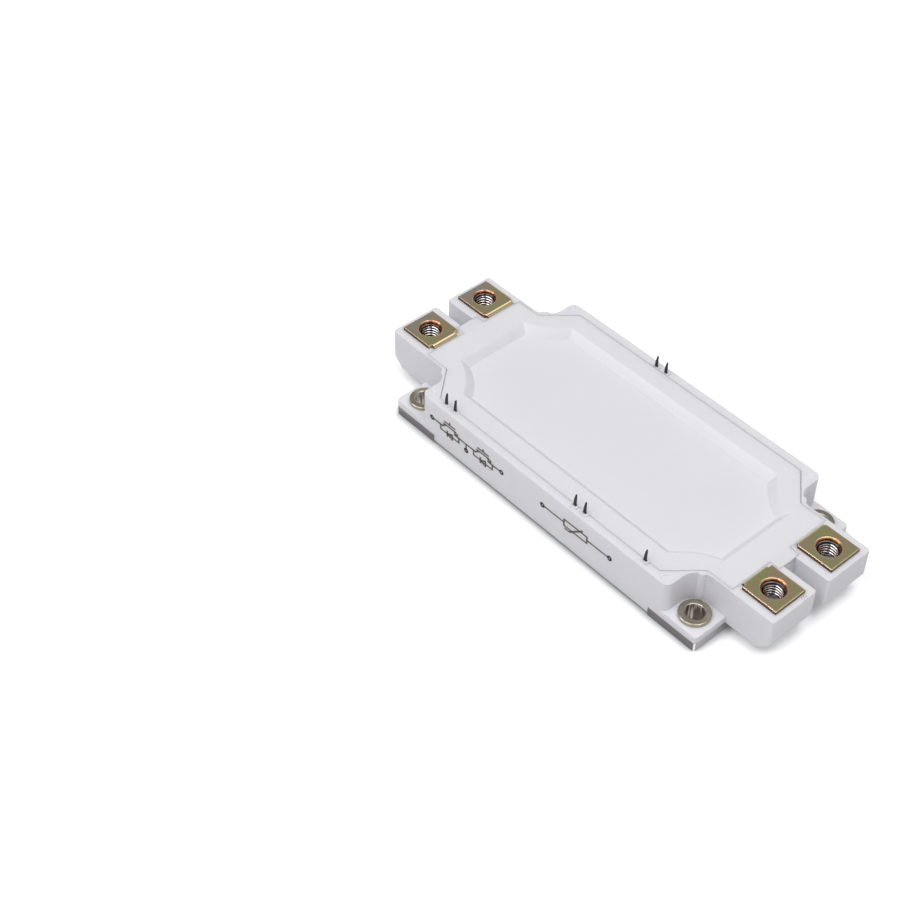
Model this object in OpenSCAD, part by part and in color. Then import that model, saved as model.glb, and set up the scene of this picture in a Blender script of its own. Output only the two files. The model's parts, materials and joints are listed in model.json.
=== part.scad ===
// Half-bridge power module: nickel-plated baseplate, moulded frame, dished lid, four screw terminals.
// The origin is the centre of the baseplate's underside, X runs along the module and Z points up.

/* [Baseplate] */
// Length of the baseplate along X
base_l = 122; // [116:0.5:148]
// Width of the baseplate along Y
base_w = 62; // [58:0.5:76]
// Thickness of the baseplate
base_t = 3; // [2.4:0.1:3.6]
// Corner radius of the baseplate and the corner lugs
base_corner_r = 1; // [0.6:0.1:3]
// How far the plate edge steps in where the skirt covers it
edge_step = 1.1; // [0.8:0.1:1.4]
// Chamfer at the foot of each mounting hole
hole_chamfer = 0.4; // [0.2:0.05:0.6]

/* [Mounting holes] */
// Distance from each mounting hole's centre to the edges of the baseplate
mount_inset = 6; // [5:0.1:8]
// Bore of the mounting bushings
mount_bore_d = 5.5; // [4.5:0.1:6.4]
// Outer diameter of the bushing shank
shank_d = 7.4; // [7:0.1:8]
// Outer diameter of the bushing head
head_d = 9.2; // [8.8:0.1:11.2]
// Height of the bushing head's top face above the underside
head_z = 6.5; // [6.2:0.1:7.8]
// Gap left between the underside and the bushing's lower end
bushing_lift = 0.35; // [0.2:0.05:0.6]

/* [Housing frame] */
// Height of the plastic top face above the underside
top_z = 16; // [15:0.1:20]
// How far the moulded walls stand back from the baseplate's long edges
wall_inset = 0.05; // [0:0.01:0.2]
// Height of the corner lugs' top face
lug_z = 5.4; // [4.8:0.1:6]
// Gap between a bushing head and the end of the long wall
head_gap_x = 0.95; // [0.6:0.05:1.6]
// Gap between a bushing head and the side of the terminal block
head_gap_y = 1; // [0.6:0.05:1.6]
// Gap between a bushing head and the scoop behind it
scoop_gap = 1.3; // [1:0.1:1.5]
// Radius of the upright rib inside each scoop
rib_r = 1.5; // [1:0.1:1.8]
// Distance from the long wall's end to the end of its skirt
skirt_end = 5.65; // [4:0.05:9]
// Distance from the side of a terminal block to the end of the short skirt
skirt_side = 5.4; // [4:0.1:8]
// Height of the skirts' lower edge above the underside
skirt_z = 0.95; // [0.6:0.05:1.6]
// Thickness of the frame's end walls at the baseplate
end_wall = 2.6; // [2.2:0.1:3]
// Width of the shelf that carries the feet of the pins
shelf_w = 2.8; // [2:0.1:3.4]
// Height of the shelf above the underside
shelf_z = 8.2; // [7.4:0.1:9]
// Depth of the adhesive groove under the frame
groove_d = 0.4; // [0.2:0.05:0.8]
// Width of the adhesive groove
groove_w = 1.4; // [0.8:0.1:1.5]

/* [Terminal blocks] */
// How far the terminal blocks reach beyond the baseplate
block_reach = 15; // [14:0.1:20]
// Radius of the upright edges of the terminal blocks
block_r = 0.8; // [0.4:0.1:2]
// Underside height of the overhanging terminal blocks
block_z = 3.2; // [3:0.1:4.2]
// Size of the 45 degree chamfer under the outer end of a block
block_chamfer = 3.9; // [2:0.1:5]
// Wall left round the recess under each block
block_wall = 1.6; // [1.2:0.1:2]
// Width of the slot between two terminal blocks
slot_w = 4.8; // [4:0.1:6]
// Distance from the baseplate's end to the inner end of the slot
slot_start = 3.4; // [3:0.1:4.4]

/* [Board screw posts] */
// Radius of the rounded post at each end of the long walls
post_r = 2.2; // [1.9:0.05:2.6]
// Diameter of the dimple that marks the screw's place
post_mark_d = 2.8; // [2:0.1:3.4]
// Depth of the dimple
post_mark_depth = 0.2; // [0.1:0.05:0.5]

/* [Lid] */
// Width of the frame left outside the lid along the long sides
lid_rim = 2.75; // [2.6:0.05:3.2]
// Width of the block left outside the narrow end of the lid
lid_neck_wall = 0.8; // [0.6:0.05:2]
// Wall between the lid and the terminal strips
strip_wall = 0.4; // [0.3:0.05:1]
// Distance from the long wall's end back to the start of the lid's corner cut
lid_cut_in = 5.45; // [4.6:0.05:7]
// Distance from the long wall's end on to the end of the lid's corner cut
lid_cut_out = 2.85; // [2.4:0.05:3.4]
// Width of the tongue that reaches from the lid to the slot
tongue_w = 8; // [6:0.1:9]
// Thickness of the lid
lid_t = 2; // [1.6:0.1:2.4]
// Gap between the lid's straight edges and the frame
lid_gap = 0.03; // [0.02:0.01:0.2]
// Wider gap at the lid's corner cuts, where a blade can lift it
lid_corner_gap = 0.15; // [0.05:0.01:0.2]
// Flat rim of the lid at the short sides of the sunk panel
panel_rim_x = 8.1; // [6:0.1:12]
// Flat rim of the lid at the long sides of the sunk panel
panel_rim_y = 6.1; // [5:0.1:9]
// Depth of the sunk panel
panel_d = 2.5; // [1:0.1:3]
// Width of the panel's sloping sides
panel_slope = 2.4; // [1.5:0.1:3.5]
// Radius of the hollow curve that cuts each corner of the panel
panel_cut_r = 21; // [16:0.5:26]
// How far the corner cut reaches along the panel's long side
panel_cut_l = 11.8; // [10:0.1:14]
// How far the corner cut reaches along the panel's short side
panel_cut_w = 9.1; // [8:0.1:10]

/* [Power terminals] */
// Distance from the block's outer end to the centre of the terminal hole
term_inset = 7.5; // [7:0.1:8]
// Distance from the baseplate's end to the terminal strip's upright leg
strip_start = 0.5; // [0.4:0.05:0.9]
// Plastic left outside the contact plate at the block's outer end
plate_end = 1.7; // [1.2:0.1:2.4]
// Plastic left outside the contact plate at the block's side
plate_side = 2.6; // [2:0.1:3.2]
// Plastic left between the contact plate and the slot
plate_slot = 2.8; // [2.2:0.1:3.2]
// Thickness of the copper strip
strip_t = 1; // [0.8:0.05:1.2]
// Clearance hole in the contact plate
plate_hole_d = 6.8; // [6.2:0.1:7.6]
// Chamfer round the top of the clearance hole
plate_hole_edge = 0.3; // [0.1:0.05:0.4]
// Width of the strip below the contact plate
strip_w = 9; // [7:0.1:10.8]
// Inner radius of the strip's bends
bend_r = 0.15; // [0.1:0.05:0.5]
// Chamfer on the plate's inner corner
plate_chamfer = 1.2; // [0.6:0.1:1.6]
// Depth of the relief notch beside the plate's bend
relief_d = 0.35; // [0.2:0.05:0.5]
// Height of the strip's level run inside the frame
run_z = 8; // [7.4:0.1:8.4]

/* [Terminal nuts] */
// Width across the flats of the nut
nut_af = 10; // [9.5:0.1:10.6]
// Height of the nut
nut_h = 5; // [4:0.1:6]
// Tapping bore of the M6 thread
nut_bore_d = 5; // [4.8:0.05:6]
// Chamfer on the nut's corners and bore
nut_chamfer = 0.5; // [0.3:0.05:0.8]
// Clearance between the nut and its pocket
nut_gap = 0.1; // [0.05:0.01:0.15]
// Diameter of the round end of the nut pocket seen from below
cup_d = 11.2; // [10:0.1:11.6]

/* [Control pins] */
// Grid pitch of the control pins
pin_pitch = 3.81; // [3.5:0.01:4]
// X position of the first pin of the front row
pin_x0 = -40.85; // [-41:0.05:-40]
// X position of the first pin of the rear row
rear_pin_x0 = -12.3; // [-16:0.1:-10]
// Distance from the outer face of the long wall to the pin row
pin_inset = 2.2; // [2:0.05:2.4]
// Height of the pin tips above the plastic top face
pin_reach = 4.5; // [3.5:0.1:6]
// Width of a pin's blade
pin_w = 0.8; // [0.7:0.05:1.2]
// Thickness of a pin's blade
pin_t = 0.5; // [0.4:0.05:0.75]

/* [Substrates and chips] */
// Space between neighbouring ceramic substrates
tile_space = 1; // [0.6:0.1:2]
// Space between the outer substrates and the cavity's corners
tile_gap = 0.6; // [0.4:0.05:1.5]
// Thickness of the solder under a substrate
solder_t = 0.2; // [0.1:0.05:0.3]
// Thickness of the copper on each face of the ceramic
foil_t = 0.3; // [0.2:0.05:0.4]
// Thickness of the ceramic
ceramic_t = 0.4; // [0.3:0.05:0.65]
// Bare ceramic left round the copper
foil_margin = 1; // [0.5:0.1:1.5]
// Side of a transistor chip
igbt_side = 10; // [8:0.1:12]
// Side of a diode chip
diode_side = 7.5; // [6:0.1:9]
// Thickness of the chips
chip_t = 0.2; // [0.1:0.05:0.4]
// Diameter of a bond wire
wire_d = 0.4; // [0.3:0.05:0.5]
// Height of the silicone gel above the underside
gel_z = 10; // [9.4:0.1:10.5]

/* [Hidden] */
$fn = 64;
SIDES = [-1, 1];
FRONT_PINS = [0, 1, 14, 15, 21];
REAR_PINS = [0, 1];
TILES = [-1, 0, 1];
over = 0.01;

// Plan of the frame and its corner lugs.
base_x = base_l / 2;
frame_y = base_w / 2 - wall_inset;
mount_x = base_x - mount_inset;
mount_y = base_w / 2 - mount_inset;
notch_x = mount_x - head_d / 2 - head_gap_x;
block_y = mount_y - head_d / 2 - head_gap_y;
scoop_r = head_d / 2 + scoop_gap;
scoop_cx = notch_x + scoop_r;
scoop_cy = block_y + scoop_r;
rib_angle = 122.5;
rib_reach = head_d / 2 + 0.25 + rib_r;
shank_gap = 0.05;
post_x = notch_x - post_r;
post_y = frame_y - post_r;
skirt_x = notch_x - skirt_end;
skirt_y = block_y - skirt_side;
skirt_gap = 0.1;

// Terminal blocks, plates, nuts and strips.
block_x = base_x + block_reach;
slot_x = base_x + slot_start;
term_x = block_x - term_inset;
plate_x0 = base_x + strip_start;
plate_x1 = block_x - plate_end;
plate_y0 = slot_w / 2 + plate_slot;
plate_y1 = block_y - plate_side;
plate_w = plate_y1 - plate_y0;
term_y = (plate_y0 + plate_y1) / 2;
plate_z = top_z + strip_t;
plate_seat_gap = 0.05;
bend_out = bend_r + strip_t;
nut_z = top_z - nut_h - nut_gap;
nut_floor = 1.6;
pocket_ceiling = nut_z - nut_gap - nut_floor;
cup_z = block_z + 0.3;
cup_floor = 1.3;
bolt_hole_d = 7.4;

// Inside of the frame.
pin_y = frame_y - pin_inset;
pin_tip_z = top_z + pin_reach;
collar_h = 0.4;
wall_y = pin_y - 1.35;
shelf_y = wall_y - shelf_w;
cavity_x = base_x - end_wall;
cavity_corner_r = scoop_r + 3.4;
groove_x = cavity_x + 1.3;
groove_y = shelf_y + 2.65;
groove_corner_r = cavity_corner_r - 1.9;

// Lid.
lid_x = plate_x0 - strip_wall - lid_gap;
lid_y = frame_y - lid_rim;
lid_neck_y = block_y - lid_neck_wall;
lid_neck_x = notch_x + lid_cut_out;
lid_cut_x = notch_x - lid_cut_in;
lid_z = top_z - lid_t;
tongue_t = 1;
latch_gap = 0.5;
panel_x = lid_x - panel_rim_x;
panel_y = lid_y - panel_rim_y;
panel_chord = norm([panel_cut_l, panel_cut_w]);
panel_bulge = sqrt(panel_cut_r * panel_cut_r - panel_chord * panel_chord / 4);
panel_cut_x = panel_x - panel_cut_l / 2 + panel_bulge * panel_cut_w / panel_chord;
panel_cut_y = panel_y - panel_cut_w / 2 + panel_bulge * panel_cut_l / panel_chord;
dish_thinning = 0.5;

// Substrates and chips.
tile_corner_angle = 29;
tile_room_x = scoop_cx - (cavity_corner_r + tile_gap) * cos(tile_corner_angle);
tile_room_y = scoop_cy - (cavity_corner_r + tile_gap) * sin(tile_corner_angle);
tile_x = (2 * tile_room_x - 2 * tile_space) / 3;
tile_y = 2 * tile_room_y;
tile_pitch = tile_x + tile_space;
tile_top = base_t + solder_t + 2 * foil_t + ceramic_t;
foil_x = tile_x / 2 - foil_margin;
foil_y = tile_y / 2 - foil_margin;
track_w = 1.6;
track_gap = 0.8;
pad_split = 2;
chip_edge = 1;
chip_gap = 2;
igbt_dx = chip_edge + igbt_side / 2 - foil_x;
diode_dx = igbt_dx + igbt_side / 2 + chip_gap + diode_side / 2;
chip_row_y = (pad_split + foil_y - track_w - track_gap) / 2;
chip_span = igbt_side + chip_gap + diode_side;
chip_mid = igbt_dx - igbt_side / 2 + chip_span / 2;
foot_l = 3.2;
foot_x = tile_pitch + foil_x - foot_l - 1.3;
drop_x = foot_x + foot_l + bend_out;
wire_pitch = 1.9;
wire_rise = 2.2;
wire_foot = 1.4;
ntc_size = [3.2, 1.6, 0.9];

// ---- Shared outlines ----

// Rectangle centred on the origin with true round corners.
module round_rect(l, w, r) {
    square([l - 2 * r, w], center = true);
    square([l, w - 2 * r], center = true);
    for (sx = SIDES, sy = SIDES)
        translate([sx * (l / 2 - r), sy * (w / 2 - r)])
            circle(r = r);
}

// Repeats its children in all four quadrants.
module each_corner() {
    for (sx = SIDES, sy = SIDES)
        scale_sign(sx, sy) children();
}

// Mirrors its children into the quadrant given by two signs.
module scale_sign(sx, sy) {
    mirror([sx < 0 ? 1 : 0, 0, 0])
        mirror([0, sy < 0 ? 1 : 0, 0])
            children();
}

// Box given by its two opposite corners.
module box(a, b) {
    translate(a)
        cube(b - a);
}

// ---- Baseplate ----

// Strip cut off one long or short side, with a relief at each end.
module edge_cut(half, depth) {
    relief_r = 0.5;
    translate([-half, -depth])
        square([2 * half, depth + 1]);
    for (s = SIDES)
        translate([s * (half - relief_r), -depth])
            circle(r = relief_r);
}

module plate_outline() {
    difference() {
        round_rect(base_l, base_w, base_corner_r);
        for (s = SIDES) {
            rotate(s < 0 ? 180 : 0)
                translate([0, base_w / 2])
                    edge_cut(skirt_x + skirt_gap, edge_step);
            rotate(s < 0 ? 90 : -90)
                translate([0, base_l / 2])
                    edge_cut(skirt_y + skirt_gap, edge_step);
        }
    }
}

module baseplate() {
    color("#8f8678")
        difference() {
            linear_extrude(base_t)
                plate_outline();
            each_corner()
                translate([mount_x, mount_y, 0]) {
                    translate([0, 0, -over])
                        cylinder(d = shank_d + 2 * shank_gap, h = base_t + 2 * over);
                    translate([0, 0, -over])
                        cylinder(d1 = shank_d + 2 * shank_gap + 2 * hole_chamfer + 2 * over,
                            d2 = shank_d + 2 * shank_gap, h = hole_chamfer + over);
                }
        }
}

// ---- Mounting bushings ----

module bushing(sx, sy) {
    head_edge = 0.3;
    color("#9a9184")
        translate([sx * mount_x, sy * mount_y, 0])
            rotate_extrude()
                polygon([
                    [mount_bore_d / 2, bushing_lift],
                    [shank_d / 2 - head_edge, bushing_lift],
                    [shank_d / 2, bushing_lift + head_edge],
                    [shank_d / 2, lug_z],
                    [head_d / 2, lug_z],
                    [head_d / 2, head_z - head_edge],
                    [head_d / 2 - head_edge, head_z],
                    [mount_bore_d / 2 + head_edge, head_z],
                    [mount_bore_d / 2, head_z - head_edge]
                ]);
}

// ---- Power terminals ----

// Quarter ring of the strip's thickness, its centre at the origin, filling one quadrant.
module strip_bend(qx, qz) {
    intersection() {
        difference() {
            circle(r = bend_out);
            circle(r = bend_r);
        }
        translate([qx < 0 ? -bend_out : 0, qz < 0 ? -bend_out : 0])
            square(bend_out);
    }
}

// Side view of the strip below the contact plate, X outward and Y up.
module strip_profile() {
    translate([plate_x0 + bend_out, plate_z - bend_out])
        strip_bend(-1, 1);
    translate([plate_x0, run_z + bend_out])
        square([strip_t, plate_z - run_z - 2 * bend_out]);
    translate([plate_x0 - bend_r, run_z + bend_out])
        strip_bend(1, -1);
    translate([drop_x + bend_r, run_z])
        square([plate_x0 - drop_x - 2 * bend_r, strip_t]);
    translate([drop_x + bend_r, run_z - bend_r])
        strip_bend(-1, 1);
    translate([drop_x - strip_t, tile_top + bend_out])
        square([strip_t, run_z - bend_r - tile_top - bend_out]);
    translate([drop_x - bend_out, tile_top + bend_out])
        strip_bend(1, -1);
    translate([foot_x, tile_top])
        square([drop_x - bend_out - foot_x, strip_t]);
}

// The strip below the plate, for the positive corner.
module strip_body() {
    translate([0, term_y + strip_w / 2, 0])
        rotate([90, 0, 0])
            linear_extrude(strip_w)
                strip_profile();
}

// Contact plate outline of the positive corner; the relief notch faces the slot or the long side.
module plate_face(relief_side) {
    start = plate_x0 + bend_out;
    difference() {
        translate([start, plate_y0])
            square([plate_x1 - start, plate_w]);
        translate([term_x, term_y])
            circle(d = plate_hole_d);
    }
    translate([start - over, plate_y0 + (relief_side < 0 ? relief_d : 0)])
        square([2 * over, plate_w - relief_d]);
}

// Rounded inner end of the contact plate, with its relief notch and chamfered corner.
module plate_bend(relief_side) {
    x0 = plate_x0;
    x1 = plate_x0 + bend_out;
    c = plate_chamfer;
    intersection() {
        translate([0, plate_y1, 0])
            rotate([90, 0, 0])
                linear_extrude(plate_w)
                    translate([plate_x0 + bend_out, plate_z - bend_out])
                        strip_bend(-1, 1);
        translate([0, 0, top_z - bend_r - over])
            linear_extrude(bend_out + 2 * over)
                if (relief_side < 0)
                    polygon([[x0, plate_y0 + relief_d], [x1, plate_y0 + relief_d],
                        [x1, plate_y1], [x0 + c, plate_y1], [x0, plate_y1 - c]]);
                else
                    polygon([[x0, plate_y0 + c], [x0 + c, plate_y0], [x1, plate_y0],
                        [x1, plate_y1 - relief_d], [x0, plate_y1 - relief_d]]);
    }
}

// Whole terminal of the positive corner.
module terminal_shape(relief_side) {
    e = plate_hole_edge;
    difference() {
        translate([0, 0, top_z])
            linear_extrude(strip_t)
                plate_face(relief_side);
        translate([term_x, term_y, plate_z - e])
            cylinder(d1 = plate_hole_d, d2 = plate_hole_d + 2 * e + 2 * over, h = e + over);
    }
    plate_bend(relief_side);
    strip_body();
}

module terminal(sx, sy) {
    color("#97896b")
        scale_sign(sx, sy)
            terminal_shape(sy);
}

// ---- Terminal nuts ----

// Hexagon with its flats facing along X.
module hexagon(af) {
    rotate(30)
        circle(d = af / cos(30), $fn = 6);
}

module nut(sx, sy) {
    corner_r = nut_af / 2 / cos(30);
    color("#c9c9cc")
        translate([sx * term_x, sy * term_y, nut_z])
            difference() {
                intersection() {
                    linear_extrude(nut_h)
                        hexagon(nut_af);
                    rotate_extrude()
                        polygon([
                            [0, 0],
                            [corner_r - nut_chamfer, 0],
                            [corner_r + over, nut_chamfer * tan(30) + over],
                            [corner_r + over, nut_h - nut_chamfer * tan(30) - over],
                            [corner_r - nut_chamfer, nut_h],
                            [0, nut_h]
                        ]);
                }
                translate([0, 0, -over])
                    cylinder(d = nut_bore_d, h = nut_h + 2 * over);
                translate([0, 0, nut_h - nut_chamfer])
                    cylinder(d1 = nut_bore_d, d2 = nut_bore_d + 2 * nut_chamfer + over,
                        h = nut_chamfer + over);
            }
}

// ---- Control pins ----

// Front view of a blade with its shoulder; the tip is cut to a slant on one edge and eased on the other.
module pin_blade() {
    shoulder_z = top_z + collar_h + 0.1;
    shoulder_w = pin_w + 0.3;
    tip_w = pin_w * 0.35;
    taper = pin_reach - collar_h - 1.2;
    polygon([
        [-shoulder_w / 2, shelf_z],
        [shoulder_w / 2, shelf_z],
        [shoulder_w / 2, shoulder_z],
        [pin_w / 2, shoulder_z + 0.2],
        [pin_w / 2, pin_tip_z - 0.3],
        [pin_w / 2 - 0.1, pin_tip_z],
        [pin_w / 2 - tip_w, pin_tip_z],
        [-pin_w * 0.3, pin_tip_z - taper * 0.6],
        [-pin_w / 2, pin_tip_z - taper],
        [-pin_w / 2, shoulder_z + 0.2],
        [-shoulder_w / 2, shoulder_z]
    ]);
}

// A pin on the positive Y side: blade and inner bonding foot.
module pin_shape() {
    foot_w = pin_w + 0.4;
    translate([0, pin_y + pin_t / 2, 0])
        rotate([90, 0, 0])
            linear_extrude(pin_t)
                pin_blade();
    box([-foot_w / 2, shelf_y + 0.3, shelf_z], [foot_w / 2, pin_y, shelf_z + pin_t]);
}

module pin_at(x, side) {
    translate([x, 0, 0])
        mirror([0, side < 0 ? 1 : 0, 0])
            pin_shape();
}

function front_pin_x(i) = pin_x0 + FRONT_PINS[i] * pin_pitch;
function rear_pin_x(i) = rear_pin_x0 + REAR_PINS[i] * pin_pitch;

module control_pin(i) {
    color("#6f6a66")
        if (i <= len(FRONT_PINS))
            pin_at(front_pin_x(i - 1), -1);
        else
            pin_at(rear_pin_x(i - len(FRONT_PINS) - 1), 1);
}

module all_pins() {
    for (i = [0:len(FRONT_PINS) - 1])
        pin_at(front_pin_x(i), -1);
    for (i = [0:len(REAR_PINS) - 1])
        pin_at(rear_pin_x(i), 1);
}

// ---- Lid ----

// Plan of the lid, or of its opening when grown by the gaps at its edges and at its corner cuts.
module lid_outline(grow, corner_grow) {
    x1 = lid_x + grow;
    y1 = lid_y + grow;
    yn = lid_neck_y + grow;
    cut = [lid_neck_x - lid_cut_x, lid_y - lid_neck_y];
    k = (corner_grow * norm(cut) - grow * cut.x) / cut.y;
    polygon([
        [x1, -yn], [x1, yn], [lid_neck_x + k, yn], [lid_cut_x + k, y1],
        [-lid_cut_x - k, y1], [-lid_neck_x - k, yn], [-x1, yn], [-x1, -yn],
        [-lid_neck_x - k, -yn], [-lid_cut_x - k, -y1], [lid_cut_x + k, -y1], [lid_neck_x + k, -yn]
    ]);
}

// Tongues that reach from the lid's short edges to the slots.
module tongues(grow) {
    reach = slot_x - over;
    translate([0, 0, top_z - tongue_t - grow])
        linear_extrude(tongue_t + grow)
            for (s = SIDES)
                translate([s * (lid_x + reach) / 2 - s * grow, 0])
                    square([reach - lid_x + 2 * over + 2 * grow, tongue_w + 2 * grow], center = true);
}

// Sunk body with sloping sides: rim size at the top, corners cut by wide cones.
module sunk_body(depth, rim_z) {
    rim_x = panel_x;
    rim_y = panel_y;
    slope = panel_slope;
    difference() {
        intersection() {
            rotate([90, 0, 0])
                translate([0, rim_z, -rim_y])
                    linear_extrude(2 * rim_y)
                        polygon([[-rim_x, over], [-rim_x, 0], [-rim_x + slope, -depth],
                            [rim_x - slope, -depth], [rim_x, 0], [rim_x, over]]);
            rotate([90, 0, 90])
                translate([0, rim_z, -rim_x])
                    linear_extrude(2 * rim_x)
                        polygon([[-rim_y, over], [-rim_y, 0], [-rim_y + slope, -depth],
                            [rim_y - slope, -depth], [rim_y, 0], [rim_y, over]]);
        }
        for (sx = SIDES, sy = SIDES)
            translate([sx * panel_cut_x, sy * panel_cut_y, rim_z - depth - over])
                cylinder(r1 = panel_cut_r + slope, r2 = panel_cut_r, h = depth + 3 * over);
    }
}

module lid() {
    color("#e3e2e7")
        difference() {
            union() {
                translate([0, 0, lid_z])
                    linear_extrude(lid_t)
                        lid_outline(0, 0);
                tongues(0);
                sunk_body(panel_d - dish_thinning, lid_z);
            }
            sunk_body(panel_d, top_z);
        }
}

// ---- Housing frame ----

// Plan of the frame above the corner lugs, without the terminal blocks.
module body_outline() {
    square([base_l, 2 * block_y], center = true);
    square([2 * notch_x, 2 * post_y], center = true);
    square([2 * post_x, 2 * frame_y], center = true);
    for (sx = SIDES, sy = SIDES) {
        translate([sx * post_x, sy * post_y])
            circle(r = post_r);
        scale_sign(sx, sy) {
            difference() {
                translate([notch_x - over, block_y - over])
                    square(scoop_r + over);
                translate([scoop_cx, scoop_cy])
                    circle(r = scoop_r);
            }
            translate([mount_x, mount_y])
                translate(rib_reach * [cos(rib_angle), -sin(rib_angle)])
                    circle(r = rib_r);
        }
    }
}

// Plan of the two terminal blocks at the positive end.
module block_outline() {
    x1 = block_x;
    x0 = base_x - end_wall;
    difference() {
        union() {
            translate([x0, -block_y])
                square([x1 - x0 - block_r, 2 * block_y]);
            for (s = SIDES) {
                inner = slot_w / 2;
                translate([x1 - block_r - over, min(s * (inner + block_r), s * (block_y - block_r))])
                    square([block_r + over, block_y - inner - 2 * block_r]);
                for (y = [inner + block_r, block_y - block_r])
                    translate([x1 - block_r, s * y])
                        circle(r = block_r);
            }
        }
        translate([slot_x, -slot_w / 2])
            square([x1, slot_w]);
    }
}

// Terminal blocks of the positive end, hollow from below with a nut pocket in each.
module blocks() {
    x1 = block_x;
    x0 = base_x - end_wall;
    intersection() {
        linear_extrude(top_z)
            block_outline();
        translate([0, block_y + 1, 0])
            rotate([90, 0, 0])
                linear_extrude(2 * block_y + 2)
                    polygon([
                        [x0, block_z],
                        [x1 - block_chamfer, block_z],
                        [x1, block_z + block_chamfer],
                        [x1, top_z],
                        [x0, top_z]
                    ]);
    }
}

// Everything cut out of one terminal block.
module block_cuts() {
    difference() {
        box([plate_x0 + strip_t + 0.6, slot_w / 2 + block_wall, block_z - 1],
            [block_x - block_wall, block_y - block_wall, pocket_ceiling]);
        translate([term_x, term_y, 0]) {
            translate([0, 0, cup_z])
                cylinder(d = cup_d, h = top_z);
            translate([0, 0, cup_z + 1.6])
                linear_extrude(top_z)
                    hexagon(cup_d + 0.5);
        }
    }
    translate([term_x, term_y, 0]) {
        translate([0, 0, nut_z - nut_gap])
            linear_extrude(top_z)
                hexagon(nut_af + 2 * nut_gap);
        translate([0, 0, cup_z + cup_floor])
            cylinder(d = bolt_hole_d, h = top_z);
    }
    strip_body();
    box([plate_x0 - plate_seat_gap, plate_y0 - plate_seat_gap, plate_z - bend_out],
        [plate_x0 + bend_out, plate_y1 + plate_seat_gap, top_z + 1]);
}

// Open inside of the frame below the lid; the gel clears its round corners by a hair.
module cavity(corner_gap = 0) {
    difference() {
        union() {
            box([-cavity_x, -shelf_y, base_t - 1], [cavity_x, shelf_y, shelf_z + over]);
            box([-cavity_x, -wall_y, shelf_z], [cavity_x, wall_y, lid_z + over]);
        }
        for (sx = SIDES, sy = SIDES)
            translate([sx * scoop_cx, sy * scoop_cy, 0])
                cylinder(r = cavity_corner_r + corner_gap, h = top_z);
    }
}

module skirts() {
    inner_y = base_w / 2 - edge_step + skirt_gap;
    inner_x = base_x - edge_step + skirt_gap;
    for (s = SIDES) {
        scale_sign(1, s)
            box([-skirt_x, inner_y, skirt_z], [skirt_x, frame_y, base_t + 1]);
        scale_sign(s, 1)
            box([inner_x, -skirt_y, skirt_z], [base_x, skirt_y, base_t + 1]);
    }
}

// Closed ring under the frame that holds the adhesive.
module groove_ring(depth) {
    translate([0, 0, base_t])
        linear_extrude(depth)
            difference() {
                groove_loop(groove_w / 2);
                groove_loop(-groove_w / 2);
            }
}

// Rectangle round the cavity whose corners pass inside the mounting holes.
module groove_loop(grow) {
    corner = groove_corner_r - grow;
    difference() {
        square([2 * (groove_x + grow), 2 * (groove_y + grow)], center = true);
        each_corner() {
            translate([mount_x, mount_y])
                circle(r = corner);
            translate([mount_x - corner, mount_y])
                square(20);
            translate([mount_x, mount_y - corner])
                square(20);
        }
    }
}

module pin_collars() {
    collar_w = 2.6;
    collar_d = 1.6;
    for (i = [0:len(FRONT_PINS) - 1])
        translate([front_pin_x(i), -pin_y - 0.2, top_z + collar_h / 2])
            cube([collar_w, collar_d, collar_h + over], center = true);
    for (i = [0:len(REAR_PINS) - 1])
        translate([rear_pin_x(i), pin_y + 0.2, top_z + collar_h / 2])
            cube([collar_w, collar_d, collar_h + over], center = true);
}

module post_marks() {
    d = post_mark_depth;
    for (sx = SIDES, sy = SIDES)
        translate([sx * post_x, sy * post_y, top_z - d])
            cylinder(d1 = post_mark_d - d, d2 = post_mark_d + over, h = d + over);
}

// Slit under each tongue at the inner end of the slot, for the lid's latch.
module latch_windows() {
    slit_w = 3.2;
    slit_y = (slit_w - slot_w) / 2;
    for (s = SIDES)
        translate([s * (slot_x - 1), slit_y, top_z - tongue_t - latch_gap / 2])
            cube([2.4, slit_w, latch_gap], center = true);
}

module housing_frame() {
    color("#e3e2e7")
        difference() {
            union() {
                translate([0, 0, base_t])
                    linear_extrude(top_z - base_t)
                        body_outline();
                translate([0, 0, base_t])
                    linear_extrude(lug_z - base_t)
                        round_rect(base_l, 2 * frame_y, base_corner_r);
                blocks();
                mirror([1, 0, 0])
                    blocks();
                skirts();
                pin_collars();
            }
            cavity();
            translate([0, 0, lid_z])
                linear_extrude(lid_t + 1)
                    lid_outline(lid_gap, lid_corner_gap);
            translate([0, 0, over])
                tongues(lid_gap);
            for (sx = SIDES, sy = SIDES) {
                translate([sx * mount_x, sy * mount_y, 0])
                    cylinder(d = shank_d + 2 * shank_gap, h = lug_z + over);
                scale_sign(sx, sy)
                    block_cuts();
            }
            all_pins();
            post_marks();
            latch_windows();
            groove_ring(groove_d);
        }
}

module frame_adhesive() {
    color("#d9d6cc")
        groove_ring(groove_d);
}

// ---- Substrates, chips and wires ----

module substrate_layer(k, z, t, margin) {
    translate([k * tile_pitch, 0, z + t / 2])
        cube([tile_x - 2 * margin, tile_y - 2 * margin, t], center = true);
}

module substrate_solder(k) {
    color("#a9a9a4")
        substrate_layer(k, base_t, solder_t, foil_margin);
}

module back_copper(k) {
    color("#b87333")
        substrate_layer(k, base_t + solder_t, foil_t, foil_margin);
}

module ceramic_tile(k) {
    color("#f1f0ea")
        substrate_layer(k, base_t + solder_t + foil_t, ceramic_t, 0);
}

// The outer tiles keep their outward end free for the terminal feet.
function tile_side(k) = k < 0 ? -1 : 1;

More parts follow.
